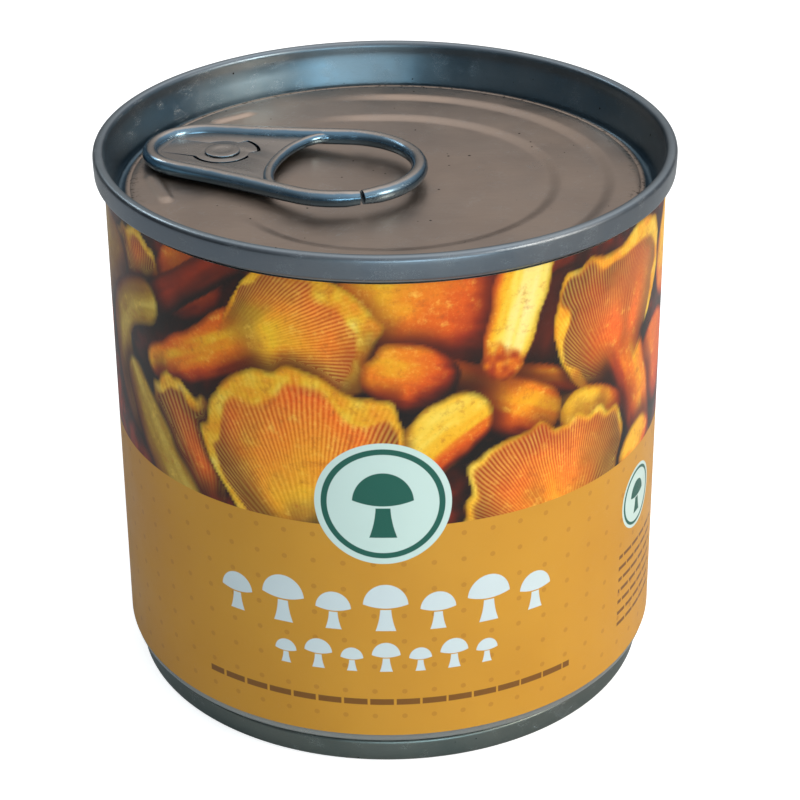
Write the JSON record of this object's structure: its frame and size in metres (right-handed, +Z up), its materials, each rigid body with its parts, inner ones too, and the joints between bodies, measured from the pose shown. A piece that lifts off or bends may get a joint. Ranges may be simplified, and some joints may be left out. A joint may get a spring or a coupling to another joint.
{
  "type": "ring-pull food can",
  "caption": "Sealed round food can with a riveted ring-pull lid, a necked-in stacking base, a picture label and whole chanterelle mushrooms inside; the tab lifts on its nose",
  "frame": {"origin": "on the ground, at the middle of the base seam's ring", "axes": "+Z up along the can's axis; -Y is the front of the label; the pull tab's nose lies towards -X and a little +Y"},
  "size_m": [0.0762, 0.0762, 0.074],
  "materials": {
    "tinplate": "semi-bright rolled tinplate, blue-grey",
    "lid_lacquer": "thin taupe lacquer over bright steel, satin",
    "tab_steel": "bright steel with a cool blue-teal sheen",
    "sealing_compound": "matt rubber lining compound",
    "printed_paper": "coated gloss paper, amber with a printed picture of chanterelles",
    "mushroom_flesh": "wet golden mushroom flesh"
  },
  "bodies": {
    "can": {"can_body": "tinplate", "lid_end": "lid_lacquer", "base_end": "tinplate", "lid_sealing_ring": "sealing_compound", "base_sealing_ring": "sealing_compound", "paper_label": "printed_paper", "rivet_tongue": "tab_steel", "chanterelle_01": "mushroom_flesh", "chanterelle_02": "mushroom_flesh", "chanterelle_03": "mushroom_flesh", "chanterelle_04": "mushroom_flesh", "chanterelle_05": "mushroom_flesh", "chanterelle_06": "mushroom_flesh", "chanterelle_07": "mushroom_flesh", "chanterelle_08": "mushroom_flesh", "chanterelle_09": "mushroom_flesh", "chanterelle_10": "mushroom_flesh", "chanterelle_11": "mushroom_flesh", "chanterelle_12": "mushroom_flesh", "chanterelle_13": "mushroom_flesh", "chanterelle_14": "mushroom_flesh"},
    "tab": {"pull_tab": "tab_steel"}
  },
  "joints": [
    {"name": "tab_lift", "type": "hinge", "parent": "can", "child": "tab", "pos_m": [-0.031, 0.0082, 0.0698], "axis": [-0.3173, -0.9483, 0], "range_deg": [0, 90]}
  ]
}
